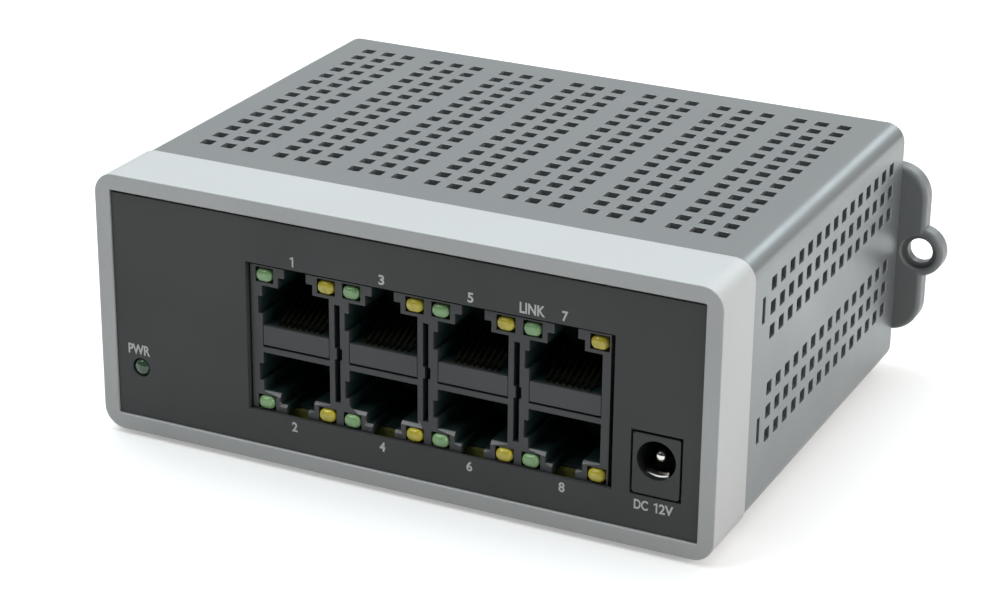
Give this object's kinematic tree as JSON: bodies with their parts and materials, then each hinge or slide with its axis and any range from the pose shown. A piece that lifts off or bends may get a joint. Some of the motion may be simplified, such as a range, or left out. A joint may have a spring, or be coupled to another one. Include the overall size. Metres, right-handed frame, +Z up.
{
  "type": "ethernet switch",
  "caption": "Compact unmanaged ethernet switch: perforated metal box with two rows of stacked network sockets, lamps, a barrel power jack and a rear screw bracket.",
  "frame": {"origin": "under the middle of the whole part, on the surface that its feet stand on", "axes": "+X across the front to the right, +Y from the front to the back, +Z up"},
  "size_m": [0.1212, 0.0844, 0.0445],
  "materials": {
    "bezel": "satin light grey moulding",
    "inlay": "matt dark grey sheet with light print",
    "sheet": "satin silver-grey paint on steel sheet",
    "pan": "satin silver-grey paint on steel sheet",
    "bracket": "fine-grained dark grey moulding",
    "screw": "zinc plated",
    "standoff": "turned",
    "foot": "matt black",
    "board": "green solder mask",
    "port_block": "fine matt dark grey",
    "contact": "gold plated",
    "green_lens": "tinted lens, unlit",
    "yellow_lens": "tinted lens, unlit",
    "jack": "black moulding",
    "jack_metal": "bright plated",
    "power_lens": "tinted lens, unlit",
    "chip": "moulded package",
    "heat_sink": "extruded",
    "can": "drawn can",
    "ferrite": "ferrite with coated edges"
  },
  "bodies": {
    "root": {"front_bezel": "bezel", "faceplate": "inlay", "perforated_cover": "sheet", "base_pan": "pan", "mounting_bracket": "bracket", "cover_screws": "screw", "board_screws": "screw", "bracket_screws": "screw", "board_standoffs": "standoff", "foot_front_left": "foot", "foot_front_right": "foot", "foot_rear_left": "foot", "foot_rear_right": "foot", "circuit_board": "board", "port_housing": "port_block", "contact_carrier_1": "port_block", "contact_carrier_2": "port_block", "contact_carrier_3": "port_block", "contact_carrier_4": "port_block", "port_1_contacts": "contact", "port_2_contacts": "contact", "port_3_contacts": "contact", "port_4_contacts": "contact", "port_5_contacts": "contact", "port_6_contacts": "contact", "port_7_contacts": "contact", "port_8_contacts": "contact", "green_lamp_1": "green_lens", "green_lamp_2": "green_lens", "green_lamp_3": "green_lens", "green_lamp_4": "green_lens", "green_lamp_5": "green_lens", "green_lamp_6": "green_lens", "green_lamp_7": "green_lens", "green_lamp_8": "green_lens", "yellow_lamp_1": "yellow_lens", "yellow_lamp_2": "yellow_lens", "yellow_lamp_3": "yellow_lens", "yellow_lamp_4": "yellow_lens", "yellow_lamp_5": "yellow_lens", "yellow_lamp_6": "yellow_lens", "yellow_lamp_7": "yellow_lens", "yellow_lamp_8": "yellow_lens", "jack_housing": "jack", "power_lamp_spacer": "jack", "jack_prong": "jack_metal", "jack_spring": "jack_metal", "power_lamp": "power_lens", "switch_chip": "chip", "regulator_chip": "chip", "line_transformer_1": "chip", "line_transformer_2": "chip", "line_transformer_3": "chip", "line_transformer_4": "chip", "heat_sink": "heat_sink", "input_capacitor": "can", "output_capacitor": "can", "crystal": "can", "power_inductor": "ferrite"}
  },
  "joints": []
}
